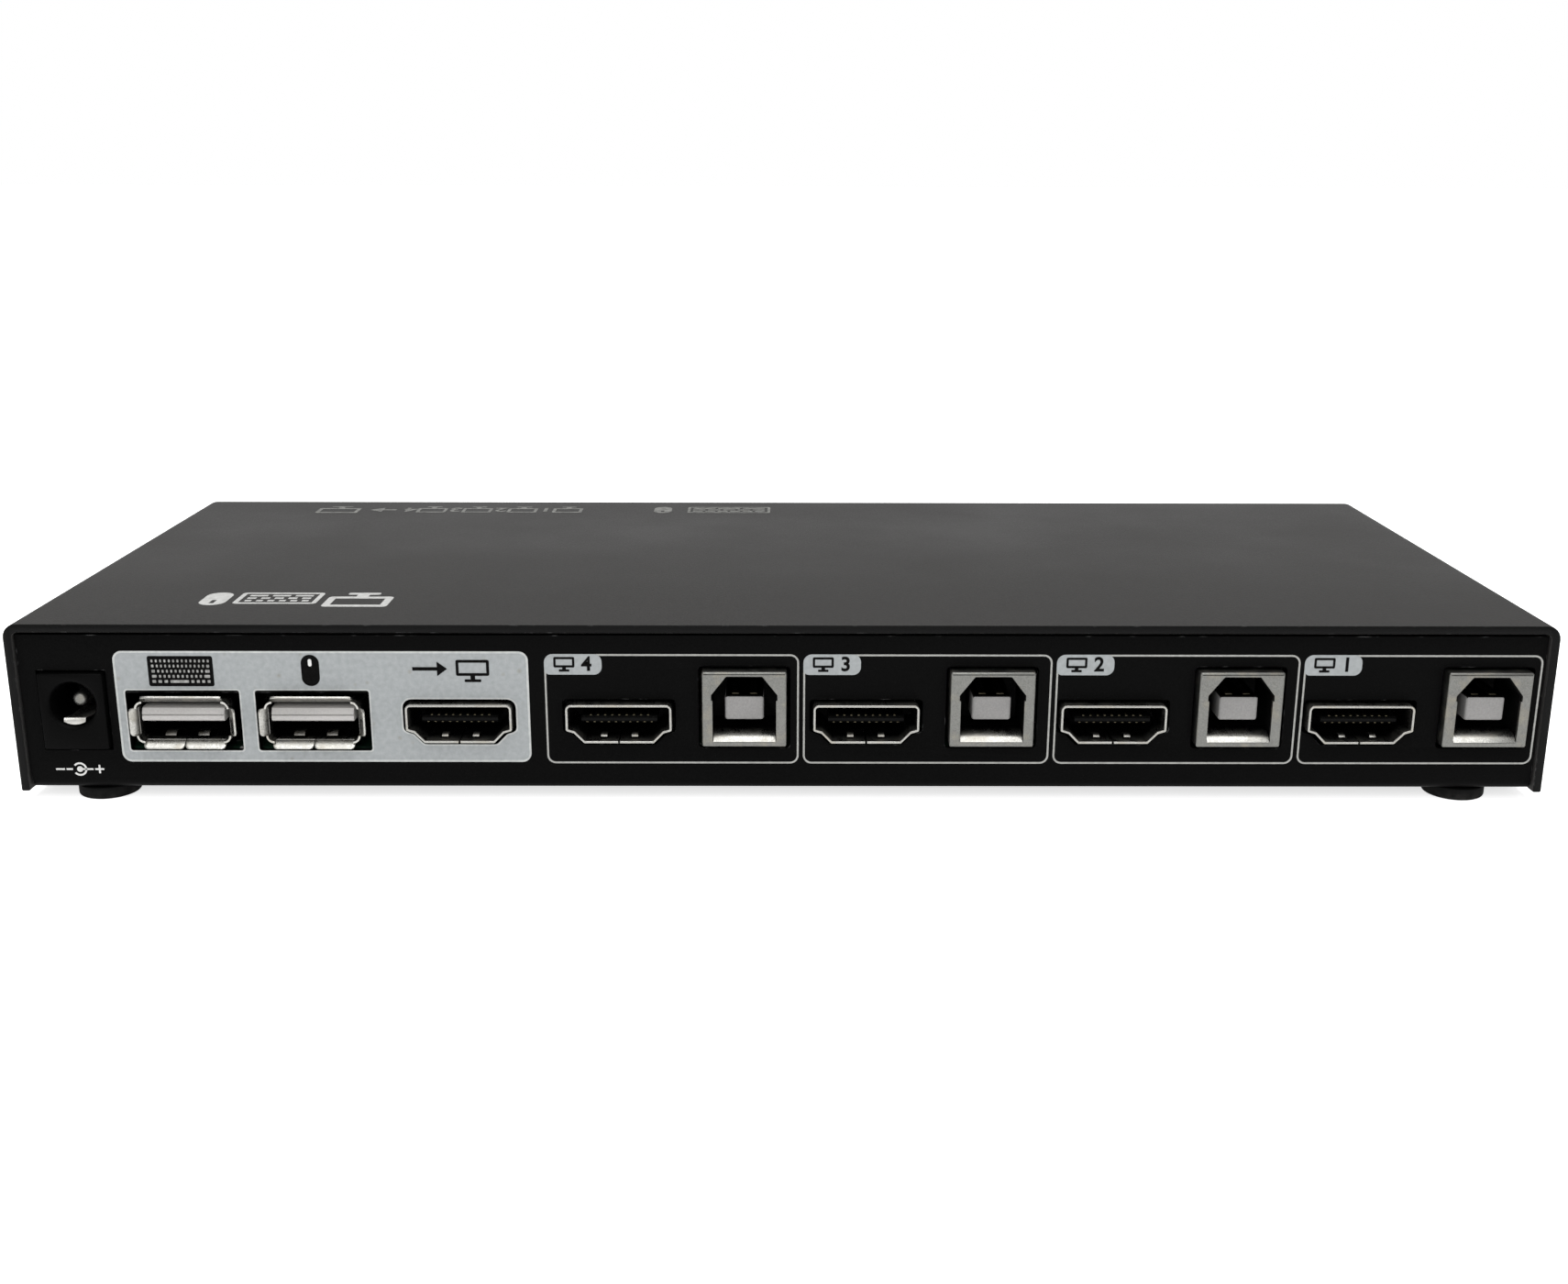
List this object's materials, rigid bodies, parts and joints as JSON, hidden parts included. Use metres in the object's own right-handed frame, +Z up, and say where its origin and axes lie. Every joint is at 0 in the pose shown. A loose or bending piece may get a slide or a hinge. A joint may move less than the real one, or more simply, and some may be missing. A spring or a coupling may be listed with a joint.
{
  "type": "kvm switch",
  "caption": "Flat folded-steel desktop box that switches one keyboard, mouse and monitor between several computers, with a row of sockets behind and select buttons in front.",
  "frame": {"origin": "on the surface the feet stand on, under the middle of the whole object's box", "axes": "+Z up; -Y is the side with the sockets, +Y is the side with the buttons; +X runs along the width, to the right as the sockets are looked at"},
  "size_m": [0.214, 0.0904, 0.026],
  "materials": {
    "cover_paint": "textured powder coat, charcoal",
    "tray_paint": "smooth powder coat, black",
    "foot_rubber": "matt",
    "screw_steel": "zinc plated",
    "board_laminate": "solder mask, green",
    "socket_steel": "nickel plated, satin",
    "video_insert_plastic": "moulded",
    "usb_insert_plastic": "moulded",
    "inlet_plastic": "moulded",
    "contact_nickel": "nickel plated",
    "button_plastic": "fine texture",
    "plunger_plastic": "moulded",
    "switch_plastic": "moulded",
    "guide_acrylic": "clear moulded acrylic",
    "chip_resin": "moulded resin",
    "sink_aluminium": "black anodised",
    "beeper_plastic": "moulded",
    "capacitor_sleeve": "shrink sleeve",
    "inductor_ferrite": "pressed ferrite"
  },
  "bodies": {
    "case": {"top_cover": "cover_paint", "base_tray": "tray_paint", "foot_rear_left": "foot_rubber", "foot_rear_right": "foot_rubber", "foot_front_left": "foot_rubber", "foot_front_right": "foot_rubber", "cover_screw_1": "screw_steel", "cover_screw_2": "screw_steel", "cover_screw_3": "screw_steel", "cover_screw_4": "screw_steel", "circuit_board": "board_laminate", "board_screw_1": "screw_steel", "board_screw_2": "screw_steel", "board_screw_3": "screw_steel", "board_screw_4": "screw_steel", "keyboard_usb_shell": "socket_steel", "keyboard_usb_insert": "usb_insert_plastic", "mouse_usb_shell": "socket_steel", "mouse_usb_insert": "usb_insert_plastic", "video_out_shell": "socket_steel", "video_out_insert": "video_insert_plastic", "pc1_video_shell": "socket_steel", "pc1_video_insert": "video_insert_plastic", "pc2_video_shell": "socket_steel", "pc2_video_insert": "video_insert_plastic", "pc3_video_shell": "socket_steel", "pc3_video_insert": "video_insert_plastic", "pc4_video_shell": "socket_steel", "pc4_video_insert": "video_insert_plastic", "pc1_usb_shell": "socket_steel", "pc1_usb_insert": "usb_insert_plastic", "pc2_usb_shell": "socket_steel", "pc2_usb_insert": "usb_insert_plastic", "pc3_usb_shell": "socket_steel", "pc3_usb_insert": "usb_insert_plastic", "pc4_usb_shell": "socket_steel", "pc4_usb_insert": "usb_insert_plastic", "power_inlet_housing": "inlet_plastic", "power_inlet_pin": "contact_nickel", "power_inlet_spring": "contact_nickel", "push_switch_1": "switch_plastic", "push_switch_2": "switch_plastic", "push_switch_3": "switch_plastic", "push_switch_4": "switch_plastic", "light_guide": "guide_acrylic", "video_switch_chip": "chip_resin", "heat_sink": "sink_aluminium", "usb_hub_chip": "chip_resin", "controller_chip": "chip_resin", "beeper": "beeper_plastic", "bulk_capacitor": "capacitor_sleeve", "power_inductor": "inductor_ferrite"},
    "button_1": {"select_button_1": "button_plastic", "switch_plunger_1": "plunger_plastic"},
    "button_2": {"select_button_2": "button_plastic", "switch_plunger_2": "plunger_plastic"},
    "button_3": {"select_button_3": "button_plastic", "switch_plunger_3": "plunger_plastic"},
    "button_4": {"select_button_4": "button_plastic", "switch_plunger_4": "plunger_plastic"}
  },
  "joints": [
    {"name": "button_1_press", "type": "slide", "parent": "case", "child": "button_1", "axis": [0, -1, 0], "range_m": [0, 0.002], "stiffness_N_per_m": 600, "springref_m": -0.0015},
    {"name": "button_2_press", "type": "slide", "parent": "case", "child": "button_2", "axis": [0, -1, 0], "range_m": [0, 0.002], "stiffness_N_per_m": 600, "springref_m": -0.0015},
    {"name": "button_3_press", "type": "slide", "parent": "case", "child": "button_3", "axis": [0, -1, 0], "range_m": [0, 0.002], "stiffness_N_per_m": 600, "springref_m": -0.0015},
    {"name": "button_4_press", "type": "slide", "parent": "case", "child": "button_4", "axis": [0, -1, 0], "range_m": [0, 0.002], "stiffness_N_per_m": 600, "springref_m": -0.0015}
  ]
}
